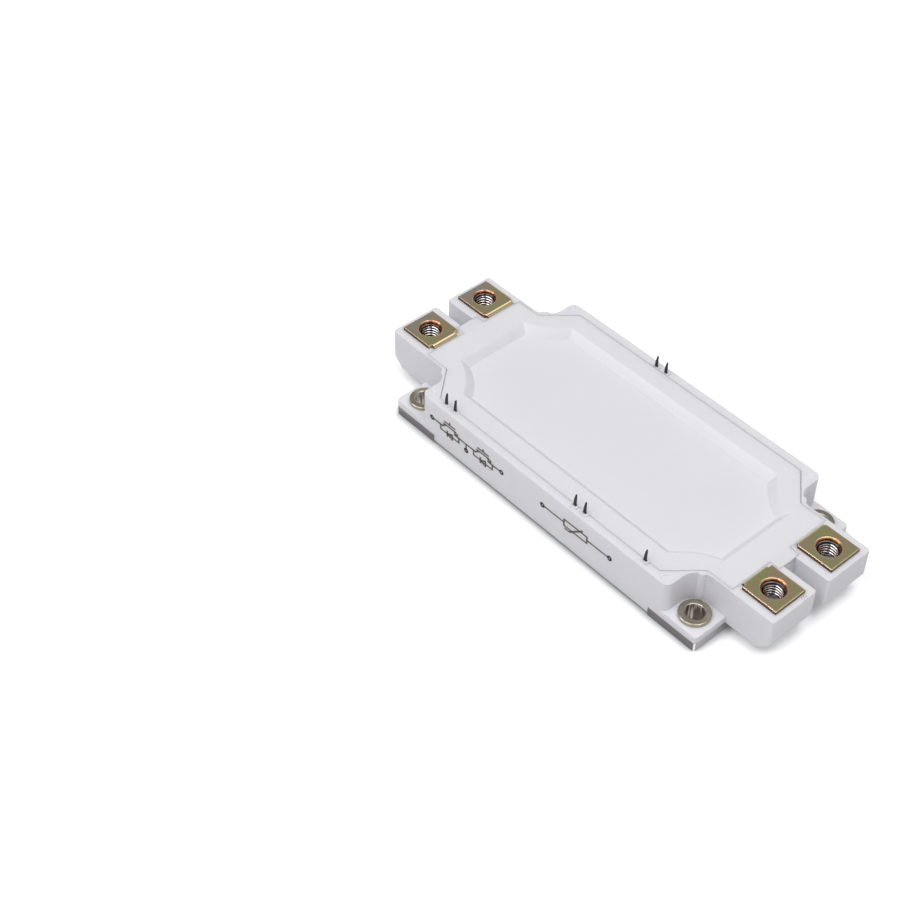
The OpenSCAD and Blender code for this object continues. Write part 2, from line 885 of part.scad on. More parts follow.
// Copper islands on the ceramic: positive, phase and negative rails, and the gate tracks.
module circuit_copper(k) {
    pad_end = foil_y - track_w - track_gap;
    rail = pad_split - track_gap;
    color("#b87333")
        translate([k * tile_pitch, 0, tile_top - foil_t]) {
            box([-foil_x, -rail, 0], [foil_x, rail, foil_t]);
            for (s = SIDES)
                scale_sign(1, s) {
                    box([-foil_x, pad_split, 0], [foil_x, pad_end, foil_t]);
                    box([-foil_x, foil_y - track_w, 0], [foil_x, foil_y, foil_t]);
                }
        }
}

module chip(k, row, dx, side, tone) {
    color(tone)
        translate([k * tile_pitch + tile_side(k) * dx, row * chip_row_y, tile_top + chip_t / 2])
            cube([side, side, chip_t], center = true);
}

// Low arch of wire between two feet on the chips, along X.
module bond_wire(span) {
    arch_r = (span * span / 4 + wire_rise * wire_rise) / (2 * wire_rise);
    half_angle = asin(span / 2 / arch_r);
    for (s = SIDES)
        translate([s * span / 2, 0, wire_d / 2])
            cube([wire_foot, wire_d, wire_d], center = true);
    translate([0, 0, wire_rise - arch_r + wire_d / 2])
        rotate([90, 0, 0])
            rotate([0, 0, 90 - half_angle])
                rotate_extrude(angle = 2 * half_angle)
                    translate([arch_r, 0])
                        circle(d = wire_d * 0.96, $fn = 24);
}

module bond_wires(k) {
    span = diode_dx - igbt_dx - 2;
    mid = tile_side(k) * (igbt_dx + diode_dx) / 2;
    color("#c7c9cc")
        for (row = SIDES, i = [-1.5:1:1.5])
            translate([k * tile_pitch + mid, row * chip_row_y + i * wire_pitch, tile_top + chip_t])
                bond_wire(span);
}

module thermistor() {
    color("#3c3a38")
        translate([tile_pitch, 0, tile_top + ntc_size[2] / 2])
            cube(ntc_size, center = true);
}

// Gel that fills the floor of the cavity round everything standing in it.
module silicone_gel() {
    wire_top = tile_top + chip_t + wire_rise + 1;
    color("#dfe3e6", 0.5)
        difference() {
            intersection() {
                cavity(0.1);
                box([-base_l, -base_w, base_t], [base_l, base_w, gel_z]);
            }
            for (k = TILES) {
                translate([k * tile_pitch, 0, (base_t + tile_top) / 2])
                    cube([tile_x, tile_y, tile_top - base_t], center = true);
                for (row = SIDES)
                    translate([k * tile_pitch + tile_side(k) * chip_mid, row * chip_row_y, 0])
                        box([-chip_span / 2, -igbt_side / 2, tile_top - over],
                            [chip_span / 2, igbt_side / 2, wire_top]);
            }
            translate([tile_pitch, 0, tile_top])
                cube([ntc_size[0], ntc_size[1], 2 * ntc_size[2]], center = true);
            for (sx = SIDES, sy = SIDES)
                scale_sign(sx, sy)
                    strip_body();
            all_pins();
        }
}

// ---- Nodes ----

baseplate();
housing_frame();
lid();
frame_adhesive();
bushing(-1, -1);  // bushing_front_left
bushing(1, -1);  // bushing_front_right
bushing(-1, 1);  // bushing_rear_left
bushing(1, 1);  // bushing_rear_right
terminal(-1, -1);  // terminal_front_left
terminal(1, -1);  // terminal_front_right
terminal(-1, 1);  // terminal_rear_left
terminal(1, 1);  // terminal_rear_right
nut(-1, -1);  // nut_front_left
nut(1, -1);  // nut_front_right
nut(-1, 1);  // nut_rear_left
nut(1, 1);  // nut_rear_right
control_pin(1);  // control_pin_1
control_pin(2);  // control_pin_2
control_pin(3);  // control_pin_3
control_pin(4);  // control_pin_4
control_pin(5);  // control_pin_5
control_pin(6);  // control_pin_6
control_pin(7);  // control_pin_7
substrate_solder(-1);  // substrate_solder_1
substrate_solder(0);  // substrate_solder_2
substrate_solder(1);  // substrate_solder_3
back_copper(-1);  // back_copper_1
back_copper(0);  // back_copper_2
back_copper(1);  // back_copper_3
ceramic_tile(-1);  // ceramic_tile_1
ceramic_tile(0);  // ceramic_tile_2
ceramic_tile(1);  // ceramic_tile_3
circuit_copper(-1);  // circuit_copper_1
circuit_copper(0);  // circuit_copper_2
circuit_copper(1);  // circuit_copper_3
chip(-1, 1, igbt_dx, igbt_side, "#8d9096");  // igbt_chip_1
chip(0, 1, igbt_dx, igbt_side, "#8d9096");  // igbt_chip_2
chip(1, 1, igbt_dx, igbt_side, "#8d9096");  // igbt_chip_3
chip(-1, -1, igbt_dx, igbt_side, "#8d9096");  // igbt_chip_4
chip(0, -1, igbt_dx, igbt_side, "#8d9096");  // igbt_chip_5
chip(1, -1, igbt_dx, igbt_side, "#8d9096");  // igbt_chip_6
chip(-1, 1, diode_dx, diode_side, "#a3a6ab");  // diode_chip_1
chip(0, 1, diode_dx, diode_side, "#a3a6ab");  // diode_chip_2
chip(1, 1, diode_dx, diode_side, "#a3a6ab");  // diode_chip_3
chip(-1, -1, diode_dx, diode_side, "#a3a6ab");  // diode_chip_4
chip(0, -1, diode_dx, diode_side, "#a3a6ab");  // diode_chip_5
chip(1, -1, diode_dx, diode_side, "#a3a6ab");  // diode_chip_6
bond_wires(-1);  // bond_wires_1
bond_wires(0);  // bond_wires_2
bond_wires(1);  // bond_wires_3
thermistor();
silicone_gel();
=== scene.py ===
"""Looks for a half-bridge power module: polyester housing, nickel-plated metal and copper terminals."""

import json
import math

import bmesh
import bpy
from mathutils import Matrix, Vector


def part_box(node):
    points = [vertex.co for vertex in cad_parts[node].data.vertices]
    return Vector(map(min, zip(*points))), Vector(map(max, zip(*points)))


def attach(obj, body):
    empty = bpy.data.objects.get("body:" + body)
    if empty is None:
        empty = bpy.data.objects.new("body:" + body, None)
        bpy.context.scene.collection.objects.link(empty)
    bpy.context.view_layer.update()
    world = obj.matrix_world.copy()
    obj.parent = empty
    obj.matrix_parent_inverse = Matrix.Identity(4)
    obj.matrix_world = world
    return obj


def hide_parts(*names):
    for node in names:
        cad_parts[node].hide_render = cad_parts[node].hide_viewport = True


MM = 0.001
TAU = 2 * math.pi

# M6 thread, radii and pitch.
THREAD_MINOR_R = 2.5 * MM
THREAD_MAJOR_R = 3.0 * MM
THREAD_PITCH = 1.0 * MM

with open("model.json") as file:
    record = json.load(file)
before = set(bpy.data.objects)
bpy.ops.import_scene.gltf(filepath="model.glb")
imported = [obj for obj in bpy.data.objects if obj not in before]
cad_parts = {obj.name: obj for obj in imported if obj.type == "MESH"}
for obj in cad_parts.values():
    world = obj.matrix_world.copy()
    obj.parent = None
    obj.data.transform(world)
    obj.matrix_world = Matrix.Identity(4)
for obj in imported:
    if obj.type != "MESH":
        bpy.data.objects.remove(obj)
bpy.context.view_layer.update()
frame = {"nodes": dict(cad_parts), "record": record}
record = frame["record"]


# ---- Sizes read from the frame -------------------------------------------------------------

def mount(name):
    """The record's mount of that name."""
    return next(m for m in record["mounts"] if m["name"] == name)


def grid_spacing(name):
    """Hole spacing of a rectangular bolt pattern, in metres."""
    dims = mount(name)["dims"]
    return dims["spacing_x_mm"] * MM, dims["spacing_y_mm"] * MM


bushing_low, bushing_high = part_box("bushing_front_left")
nut_low, nut_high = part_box("nut_front_left")
frame_low, frame_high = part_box("housing_frame")
base_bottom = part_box("baseplate")[0].z


# ---- Node and mesh helpers -----------------------------------------------------------------

def linear(hex_colour):
    """sRGB hex such as 'E4E3E9' as a linear RGBA colour."""
    channels = [int(hex_colour[i:i + 2], 16) / 255 for i in (0, 2, 4)]
    return [c / 12.92 if c <= 0.04045 else ((c + 0.055) / 1.055) ** 2.4 for c in channels] + [1.0]


def add(tree, kind, inputs=None, **settings):
    """Adds a node with its settings; an input is a value or another node's output socket."""
    made = tree.nodes.new(kind)
    for key, value in settings.items():
        setattr(made, key, value)
    for key, value in (inputs or {}).items():
        if isinstance(value, bpy.types.NodeSocket):
            tree.links.new(value, made.inputs[key])
        else:
            made.inputs[key].default_value = value
    return made


def start_material(name, **sockets):
    """A material with a Principled shader whose constant sockets are set by name."""
    material = bpy.data.materials.new(name)
    material.use_nodes = True
    tree = material.node_tree
    shader = tree.nodes["Principled BSDF"]
    for key, value in sockets.items():
        shader.inputs[key.replace("_", " ")].default_value = value
    return material, tree, shader


def new_piece(name, mesh, material, slot, *replaced):
    """Puts a finished mesh on the module in place of the CAD nodes it stands for."""
    piece = bpy.data.objects.new(name, mesh)
    bpy.context.collection.objects.link(piece)
    mesh.materials.clear()
    mesh.materials.append(material)
    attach(piece, "root")
    if replaced:
        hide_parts(*replaced)
    return piece


def smooth_by_angle(mesh, degrees):
    """Smooth shading with sharp edges above an angle."""
    mesh.shade_smooth()
    mesh.set_sharp_from_angle(angle=math.radians(degrees))


# ---- Materials -----------------------------------------------------------------------------

def moulded_polyester(name, colour, edge_radius):
    """Glass-filled polyester, injection moulded: matt, slightly grained, with soft edges."""
    patch = 18 * MM
    grain_size = 0.35 * MM
    speck_size = 0.5 * MM
    speck_reach = 0.9 * MM
    speck_centre = (frame_high.x - 0.6 * MM, -6.7 * MM, frame_high.z - 0.4 * MM)
    material, tree, shader = start_material(name, Roughness=0.46, IOR=1.57, Subsurface_Weight=0.5,
                                            Subsurface_Radius=(1.0, 0.95, 0.9),
                                            Subsurface_Scale=2.0 * MM)
    place = add(tree, "ShaderNodeTexCoord").outputs["Object"]
    # Patches about 18 mm across are barely darker than the rest.
    patches = add(tree, "ShaderNodeTexNoise", {"Vector": place, "Scale": 1 / patch, "Detail": 3.0})
    tone = add(tree, "ShaderNodeMix", {"Factor": patches.outputs["Fac"], "A": linear(colour[0]),
                                       "B": linear(colour[1])}, data_type="RGBA")
    # A few dark specks, well under a millimetre each, sit on the edge of the front right block.
    specks = add(tree, "ShaderNodeTexNoise", {"Vector": place, "Scale": 1 / speck_size, "Detail": 1.0})
    dark = add(tree, "ShaderNodeMath", {0: specks.outputs["Fac"], 1: 0.58}, operation="GREATER_THAN")
    away = add(tree, "ShaderNodeVectorMath", {0: place, 1: speck_centre}, operation="DISTANCE")
    near = add(tree, "ShaderNodeMath", {0: away.outputs["Value"], 1: speck_reach},
               operation="LESS_THAN")
    speck = add(tree, "ShaderNodeMath", {0: dark.outputs[0], 1: near.outputs[0]}, operation="MULTIPLY")
    marked = add(tree, "ShaderNodeMix", {"Factor": speck.outputs[0], "A": tone.outputs["Result"],
                                         "B": linear("77727A")}, data_type="RGBA")
    tree.links.new(marked.outputs["Result"], shader.inputs["Base Color"])
    # A moulded grain is about 0.05 mm, too fine to show, so it is drawn at 0.35 mm.
    grain = add(tree, "ShaderNodeTexNoise", {"Vector": place, "Scale": 1 / grain_size, "Detail": 2.0})
    sheen = add(tree, "ShaderNodeMapRange", {"Value": grain.outputs["Fac"], "From Min": 0.3,
                                             "From Max": 0.7, "To Min": 0.40, "To Max": 0.54})
    tree.links.new(sheen.outputs["Result"], shader.inputs["Roughness"])
    edge = add(tree, "ShaderNodeBevel", {"Radius": edge_radius}, samples=6)
    bump = add(tree, "ShaderNodeBump", {"Height": grain.outputs["Fac"], "Strength": 0.10,
                                        "Distance": 0.02 * MM, "Normal": edge.outputs["Normal"]})
    tree.links.new(bump.outputs["Normal"], shader.inputs["Normal"])
    return material


def plated_nickel(name, colour, cloud, roughness, edge_radius):
    """Electroplated nickel on rolled copper: clouds of two warm tones, with faint rolling lines."""
    line_gap = 0.2 * MM
    line_stretch = 40
    material, tree, shader = start_material(name, Metallic=1.0)
    place = add(tree, "ShaderNodeTexCoord").outputs["Object"]
    clouds = add(tree, "ShaderNodeTexNoise", {"Vector": place, "Scale": 1 / cloud, "Detail": 3.0})
    spread = add(tree, "ShaderNodeMapRange", {"Value": clouds.outputs["Fac"], "From Min": 0.35,
                                              "From Max": 0.65})
    tone = add(tree, "ShaderNodeMix", {"Factor": spread.outputs["Result"], "A": linear(colour[0]),
                                       "B": linear(colour[1])}, data_type="RGBA")
    tree.links.new(tone.outputs["Result"], shader.inputs["Base Color"])
    # Rolling lines 0.2 mm apart and about 8 mm long.
    stretch = add(tree, "ShaderNodeMapping", {"Vector": place, "Scale": (1 / line_stretch, 1.0, 1.0)})
    lines = add(tree, "ShaderNodeTexNoise", {"Vector": stretch.outputs["Vector"],
                                             "Scale": 1 / line_gap, "Detail": 2.0})
    polish = add(tree, "ShaderNodeMapRange", {"Value": lines.outputs["Fac"], "From Min": 0.3,
                                              "From Max": 0.7, "To Min": roughness - 0.04,
                                              "To Max": roughness + 0.06})
    tree.links.new(polish.outputs["Result"], shader.inputs["Roughness"])
    edge = add(tree, "ShaderNodeBevel", {"Radius": edge_radius}, samples=6)
    bump = add(tree, "ShaderNodeBump", {"Height": lines.outputs["Fac"], "Strength": 0.05,
                                        "Distance": 0.01 * MM, "Normal": edge.outputs["Normal"]})
    tree.links.new(bump.outputs["Normal"], shader.inputs["Normal"])
    return material


def upright_mask(tree):
    """1 on faces that stand upright and 0 on level ones, with the parts of the face's direction."""
    facing = add(tree, "ShaderNodeNewGeometry").outputs["True Normal"]
    parts = add(tree, "ShaderNodeSeparateXYZ", {"Vector": facing}).outputs
    level = add(tree, "ShaderNodeMath", {0: parts["Z"]}, operation="ABSOLUTE")
    upright = add(tree, "ShaderNodeMath", {0: level.outputs[0], 1: 0.5}, operation="LESS_THAN")
    return upright.outputs[0], parts


def off_axis(tree, pattern):
    """Level distance from the nearest axis of a record's four-hole pattern."""
    spacing = grid_spacing(pattern)
    place = add(tree, "ShaderNodeTexCoord").outputs["Object"]
    where = add(tree, "ShaderNodeSeparateXYZ", {"Vector": place}).outputs
    along = add(tree, "ShaderNodeMath", {0: where["X"]}, operation="ABSOLUTE")
    across = add(tree, "ShaderNodeMath", {0: where["Y"]}, operation="ABSOLUTE")
    dx = add(tree, "ShaderNodeMath", {0: along.outputs[0], 1: spacing[0] / 2}, operation="SUBTRACT")
    dy = add(tree, "ShaderNodeMath", {0: across.outputs[0], 1: spacing[1] / 2}, operation="SUBTRACT")
    level = add(tree, "ShaderNodeCombineXYZ", {"X": dx.outputs[0], "Y": dy.outputs[0]})
    length = add(tree, "ShaderNodeVectorMath", {0: level.outputs["Vector"]}, operation="LENGTH")
    return length.outputs["Value"]


def milled_baseplate():
    """Nickel-plated copper baseplate: warm rolled faces, and cooler edges with fine lines along them,
    darkened as painted shade, with painted light on the end faces and a painted highlight on the
    rounded corners.
    """
    line_gap = 0.5 * MM
    line_stretch = 40
    material = plated_nickel("nickel_plated_baseplate", ("B5AD9C", "A89F8C"), 26 * MM, 0.16, 0.3 * MM)
    tree = material.node_tree
    shader = tree.nodes["Principled BSDF"]
    plating = shader.inputs["Base Color"].links[0].from_socket
    upright, parts = upright_mask(tree)
    place = add(tree, "ShaderNodeTexCoord").outputs["Object"]
    # Lines lie level on the edges, 0.5 mm apart, each some 20 mm long.
    stretch = add(tree, "ShaderNodeMapping", {"Vector": place,
                                              "Scale": (1 / line_stretch, 1 / line_stretch, 1.0)})
    lines = add(tree, "ShaderNodeTexNoise", {"Vector": stretch.outputs["Vector"],
                                             "Scale": 1 / line_gap, "Detail": 2.0})
    # The upright faces get a darker, cooler grey than the plating, with fine lines in it: the darkness
    # is painted shade.
    milled_lines_and_painted_light = add(tree, "ShaderNodeMix", {"Factor": lines.outputs["Fac"], "A": linear("666366"),
                                         "B": linear("8F8C90")}, data_type="RGBA")
    # The end faces are drawn lighter than the long ones: painted light.
    painted_light_on_ends = add(tree, "ShaderNodeMath", {0: parts["X"]}, operation="ABSOLUTE")
    milled_lines_and_painted_light = add(tree, "ShaderNodeMix", {"Factor": painted_light_on_ends.outputs[0], "A": milled_lines_and_painted_light.outputs["Result"],
                                         "B": linear("ABA9AE")}, data_type="RGBA")
    # The rounded upright corners get a painted highlight, nearly white: at 45 degrees, X times Y is
    # 0.5.
    diagonal = add(tree, "ShaderNodeMath", {0: parts["X"], 1: parts["Y"]}, operation="MULTIPLY")
    turned = add(tree, "ShaderNodeMath", {0: diagonal.outputs[0]}, operation="ABSOLUTE")
    corner = add(tree, "ShaderNodeMapRange", {"Value": turned.outputs[0], "From Min": 0.41,
                                              "From Max": 0.48})
    milled_lines_and_painted_light = add(tree, "ShaderNodeMix", {"Factor": corner.outputs["Result"],
                                         "A": milled_lines_and_painted_light.outputs["Result"], "B": linear("FBF8F4")},
                 data_type="RGBA")
    tone = add(tree, "ShaderNodeMix", {"Factor": upright, "A": plating, "B": milled_lines_and_painted_light.outputs["Result"]},
               data_type="RGBA")
    tree.links.new(tone.outputs["Result"], shader.inputs["Base Color"])
    return material


def streaked_bushing():
    """Nickel-plated steel bushing: a smooth ring, and a bore with light and dark streaks along it as
    painted reflections.
    """
    streak = 1.0 * MM
    streak_stretch = 12
    material = bright_metal("nickel_plated_bushing", "B9B2A2", "9F9786", 0.16, 3 * MM)
    tree = material.node_tree
    shader = tree.nodes["Principled BSDF"]
    plating = shader.inputs["Base Color"].links[0].from_socket
    bore_edge = mount("heatsink_screws")["dims"]["hole_r_mm"] * MM + 0.1 * MM
    bore = add(tree, "ShaderNodeMath", {0: off_axis(tree, "heatsink_screws"), 1: bore_edge},
               operation="LESS_THAN").outputs[0]
    place = add(tree, "ShaderNodeTexCoord").outputs["Object"]
    # Painted reflections: light and dark streaks about 1 mm wide run the length of the bore.
    stretch = add(tree, "ShaderNodeMapping", {"Vector": place, "Scale": (1.0, 1.0, 1 / streak_stretch)})
    streaks = add(tree, "ShaderNodeTexNoise", {"Vector": stretch.outputs["Vector"],
                                               "Scale": 1 / streak, "Detail": 2.0})
    painted_reflection_streaks = add(tree, "ShaderNodeMapRange", {"Value": streaks.outputs["Fac"], "From Min": 0.44,
                                                "From Max": 0.56})
    drawn = add(tree, "ShaderNodeMix", {"Factor": painted_reflection_streaks.outputs["Result"], "A": linear("8A7D77"),
                                        "B": linear("FFF9F5")}, data_type="RGBA")
    tone = add(tree, "ShaderNodeMix", {"Factor": bore, "A": plating, "B": drawn.outputs["Result"]},
               data_type="RGBA")
    tree.links.new(tone.outputs["Result"], shader.inputs["Base Color"])
    polish = shader.inputs["Roughness"].links[0].from_socket
    gloss = add(tree, "ShaderNodeMix", {"Factor": bore, "A": polish, "B": 0.40})
    tree.links.new(gloss.outputs["Result"], shader.inputs["Roughness"])
    return material


def threaded_steel():
    """Phosphated steel nut, with a thread that has painted shade at its roots and a painted highlight
    at its crests.
    """
    material = bright_metal("phosphated_steel_nut", "6A6463", "504A49", 0.12, 1.5 * MM)
    tree = material.node_tree
    shader = tree.nodes["Principled BSDF"]
    flank = shader.inputs["Base Color"].links[0].from_socket
    radius = off_axis(tree, "terminal_screws")
    # A painted highlight on the thread's crests, and painted shade in its roots.
    painted_crest_highlight = add(tree, "ShaderNodeMapRange", {"Value": radius, "From Min": THREAD_MINOR_R + 0.20 * MM,
                                             "From Max": THREAD_MINOR_R + 0.07 * MM})
    root = add(tree, "ShaderNodeMapRange", {"Value": radius, "From Min": THREAD_MINOR_R + 0.18 * MM,
                                            "From Max": THREAD_MINOR_R + 0.32 * MM})
    in_thread = add(tree, "ShaderNodeMath", {0: radius, 1: THREAD_MAJOR_R + 0.02 * MM},
                    operation="LESS_THAN")
    groove = add(tree, "ShaderNodeMath", {0: root.outputs["Result"], 1: in_thread.outputs[0]},
                 operation="MULTIPLY")
    dark = add(tree, "ShaderNodeMix", {"Factor": groove.outputs[0], "A": flank, "B": linear("262020")},
               data_type="RGBA")
    tone = add(tree, "ShaderNodeMix", {"Factor": painted_crest_highlight.outputs["Result"], "A": dark.outputs["Result"],
                                       "B": linear("EFE8E6")}, data_type="RGBA")
    tree.links.new(tone.outputs["Result"], shader.inputs["Base Color"])
    return material


def stamped_terminal_strip():
    """Nickel-plated copper strip: plated faces, and copper colour on the cut edges."""
    bend_end = frame_high.x - 12.8 * MM
    hole_rim = 3.66 * MM
    outside_rim = 3.78 * MM
    material = plated_nickel("nickel_on_stamped_copper", ("BFBB8A", "CBB394"), 8 * MM, 0.16, 0.55 * MM)
    tree = material.node_tree
    shader = tree.nodes["Principled BSDF"]
    plating = shader.inputs["Base Color"].links[0].from_socket
    place = add(tree, "ShaderNodeTexCoord").outputs["Object"]
    upright, facing = upright_mask(tree)
    where = add(tree, "ShaderNodeSeparateXYZ", {"Vector": place}).outputs
    # The outer ends of the left plates are drawn a little more grey: a painted reflection.
    painted_reflection_on_ends = add(tree, "ShaderNodeMapRange", {"Value": where["X"], "From Min": -67 * MM,
                                              "From Max": -74 * MM})
    plating = add(tree, "ShaderNodeMix", {"Factor": painted_reflection_on_ends.outputs["Result"], "A": plating,
                                          "B": linear("C4B8AB")}, data_type="RGBA").outputs["Result"]
    across = add(tree, "ShaderNodeMath", {0: facing["Y"]}, operation="ABSOLUTE")
    is_side = add(tree, "ShaderNodeMath", {0: across.outputs[0], 1: 0.5}, operation="GREATER_THAN")
    along = add(tree, "ShaderNodeMath", {0: where["X"]}, operation="ABSOLUTE")
    past_bend = add(tree, "ShaderNodeMath", {0: along.outputs[0], 1: bend_end},
                    operation="GREATER_THAN")
    cut_zone = add(tree, "ShaderNodeMath", {0: is_side.outputs[0], 1: past_bend.outputs[0]},
                   operation="MAXIMUM")
    cut = add(tree, "ShaderNodeMath", {0: upright, 1: cut_zone.outputs[0]}, operation="MULTIPLY")
    # Copper colour shows in the hole and its chamfer, and a darker brown on the outer edges.
    radius = off_axis(tree, "terminal_screws")
    outside = add(tree, "ShaderNodeMath", {0: radius, 1: outside_rim}, operation="GREATER_THAN")
    in_hole = add(tree, "ShaderNodeMath", {0: radius, 1: hole_rim}, operation="LESS_THAN")
    cut = add(tree, "ShaderNodeMath", {0: cut.outputs[0], 1: in_hole.outputs[0]}, operation="MAXIMUM")
    # The front edges of the right plates get a pale yellow painted highlight.
    rounded = shader.inputs["Normal"].links[0].from_node.inputs["Normal"].links[0].from_socket
    leans = add(tree, "ShaderNodeSeparateXYZ", {"Vector": rounded}).outputs["Y"]
    edge = add(tree, "ShaderNodeMapRange", {"Value": leans, "From Min": -0.12, "From Max": -0.4})
    painted_cream_highlight = add(tree, "ShaderNodeMath", {0: edge.outputs["Result"], 1: outside.outputs[0]},
                operation="MULTIPLY")
    right_end = add(tree, "ShaderNodeMath", {0: where["X"], 1: 0.0}, operation="GREATER_THAN")
    painted_cream_highlight = add(tree, "ShaderNodeMath", {0: painted_cream_highlight.outputs[0], 1: right_end.outputs[0]},
                operation="MULTIPLY")
    plating = add(tree, "ShaderNodeMix", {"Factor": painted_cream_highlight.outputs[0], "A": plating,
                                          "B": linear("FFF1CC")}, data_type="RGBA").outputs["Result"]
    shear = add(tree, "ShaderNodeTexNoise", {"Vector": place, "Scale": 1 / (0.6 * MM), "Detail": 2.0})
    hole_copper = add(tree, "ShaderNodeMix", {"Factor": shear.outputs["Fac"], "A": linear("E09A66"),
                                        "B": linear("B4623A")}, data_type="RGBA")
    brown = add(tree, "ShaderNodeMix", {"Factor": shear.outputs["Fac"], "A": linear("7A5238"),
                                        "B": linear("54382A")}, data_type="RGBA")
    copper = add(tree, "ShaderNodeMix", {"Factor": outside.outputs[0], "A": hole_copper.outputs["Result"],
                                         "B": brown.outputs["Result"]}, data_type="RGBA")
    tone = add(tree, "ShaderNodeMix", {"Factor": cut.outputs[0], "A": plating,
                                       "B": copper.outputs["Result"]}, data_type="RGBA")
    tree.links.new(tone.outputs["Result"], shader.inputs["Base Color"])
    return material


def bright_metal(name, light, dark, roughness, spot):
    """A small bare or plated metal piece with a mottled tone; spot is the size of the mottling."""
    material, tree, shader = start_material(name, Metallic=1.0, Roughness=roughness)
    place = add(tree, "ShaderNodeTexCoord").outputs["Object"]
    mottle = add(tree, "ShaderNodeTexNoise", {"Vector": place, "Scale": 1 / spot, "Detail": 3.0})
    tone = add(tree, "ShaderNodeMix", {"Factor": mottle.outputs["Fac"], "A": linear(light),
                                       "B": linear(dark)}, data_type="RGBA")
    tree.links.new(tone.outputs["Result"], shader.inputs["Base Color"])
    gloss = add(tree, "ShaderNodeMapRange", {"Value": mottle.outputs["Fac"], "From Min": 0.3,
                                             "From Max": 0.7, "To Min": roughness - 0.05,
                                             "To Max": roughness + 0.08})
    tree.links.new(gloss.outputs["Result"], shader.inputs["Roughness"])
    return material


def matt_solid(name, light, dark, roughness, spot, **sockets):
    """A non-metal with a fine mottled tone, such as fired ceramic or cured silicone."""
    material, tree, shader = start_material(name, Roughness=roughness, **sockets)
    place = add(tree, "ShaderNodeTexCoord").outputs["Object"]
    mottle = add(tree, "ShaderNodeTexNoise", {"Vector": place, "Scale": 1 / spot, "Detail": 3.0})
    tone = add(tree, "ShaderNodeMix", {"Factor": mottle.outputs["Fac"], "A": linear(light),
                                       "B": linear(dark)}, data_type="RGBA")
    tree.links.new(tone.outputs["Result"], shader.inputs["Base Color"])
    bump = add(tree, "ShaderNodeBump", {"Height": mottle.outputs["Fac"], "Strength": 0.2,
                                        "Distance": 0.02 * MM})
    tree.links.new(bump.outputs["Normal"], shader.inputs["Normal"])
    return material


housing_white = moulded_polyester("moulded_polyester_frame", ("EDECF1", "E9E8ED"), 0.3 * MM)
lid_white = moulded_polyester("moulded_polyester_lid", ("EEEDF1", "EAE9ED"), 0.5 * MM)
base_nickel = milled_baseplate()
bushing_nickel = streaked_bushing()
terminal_metal = stamped_terminal_strip()
nut_steel = threaded_steel()
mark_brown = matt_solid("laser_marked_polyester", "84766A", "6E6258", 0.62, 0.5 * MM)
pin_tin = bright_metal("dull_tin_pin", "403B39", "2C2826", 0.30, 0.8 * MM)
bare_copper = bright_metal("bare_copper_foil", "C98A5E", "B87348", 0.38, 4 * MM)
soft_solder = bright_metal("reflowed_solder", "B4B4B0", "989893", 0.42, 2 * MM)
bond_aluminium = bright_metal("drawn_aluminium_wire", "CFD0D2", "B9BBBE", 0.30, 1 * MM)
chip_silicon = bright_metal("metallised_silicon", "A3A6AC", "868A92", 0.28, 0.5 * MM)
fired_alumina = matt_solid("fired_alumina", "F1F0EA", "E4E2DA", 0.60, 0.4 * MM)
thermistor_dark = matt_solid("glazed_thermistor", "403E3C", "2F2D2B", 0.35, 0.5 * MM)
cured_silicone = matt_solid("cured_silicone_bead", "D9D6CC", "CCC8BC", 0.50, 1 * MM, IOR=1.41)
clear_gel = matt_solid("clear_silicone_gel", "EEF1F3", "E4E8EA", 0.08, 6 * MM, IOR=1.41,
                       Transmission_Weight=1.0)

FINISHES = {
    "baseplate": base_nickel,
    "housing_frame": housing_white,
    "lid": lid_white,
    "frame_adhesive": cured_silicone,
    "bushing": bushing_nickel,
    "terminal": terminal_metal,
    "nut": nut_steel,
    "control_pin": pin_tin,
    "substrate_solder": soft_solder,
    "back_copper": bare_copper,
    "ceramic_tile": fired_alumina,
    "circuit_copper": bare_copper,
    "igbt_chip": chip_silicon,
    "diode_chip": chip_silicon,
    "bond_wires": bond_aluminium,
    "thermistor": thermistor_dark,
    "silicone_gel": clear_gel,
}
for node_name, node_object in frame["nodes"].items():
    finish = next(FINISHES[key] for key in FINISHES if node_name.startswith(key))
    for material_slot in node_object.material_slots:
        material_slot.material = finish


# ---- Repeated pieces on the hole grids -----------------------------------------------------

def finished_mesh(name, shape):
    """Turns the faces outwards and makes a mesh of the shape."""
    bmesh.ops.recalc_face_normals(shape, faces=shape.faces)
    mesh = bpy.data.meshes.new(name)
    shape.to_mesh(mesh)
    shape.free()
    return mesh


def lathe(name, profiles):
    """Joins closed profiles of (radius, height) points, one for each step once round Z."""
    shape = bmesh.new()
    rings = []
    for k, profile in enumerate(profiles):
        turn = TAU * k / len(profiles)
        rings.append([shape.verts.new((r * math.cos(turn), r * math.sin(turn), z)) for r, z in profile])
    for here, there in zip(rings, rings[1:] + rings[:1]):
        for i in range(len(here)):
            j = (i + 1) % len(here)
            shape.faces.new((here[i], there[i], there[j], here[j]))
    return finished_mesh(name, shape)


def arc(centre, radius, start, end, steps):
    """Points on an arc, angles in degrees."""
    turns = [math.radians(start + (end - start) * k / steps) for k in range(steps + 1)]
    return [(centre[0] + radius * math.cos(t), centre[1] + radius * math.sin(t)) for t in turns]


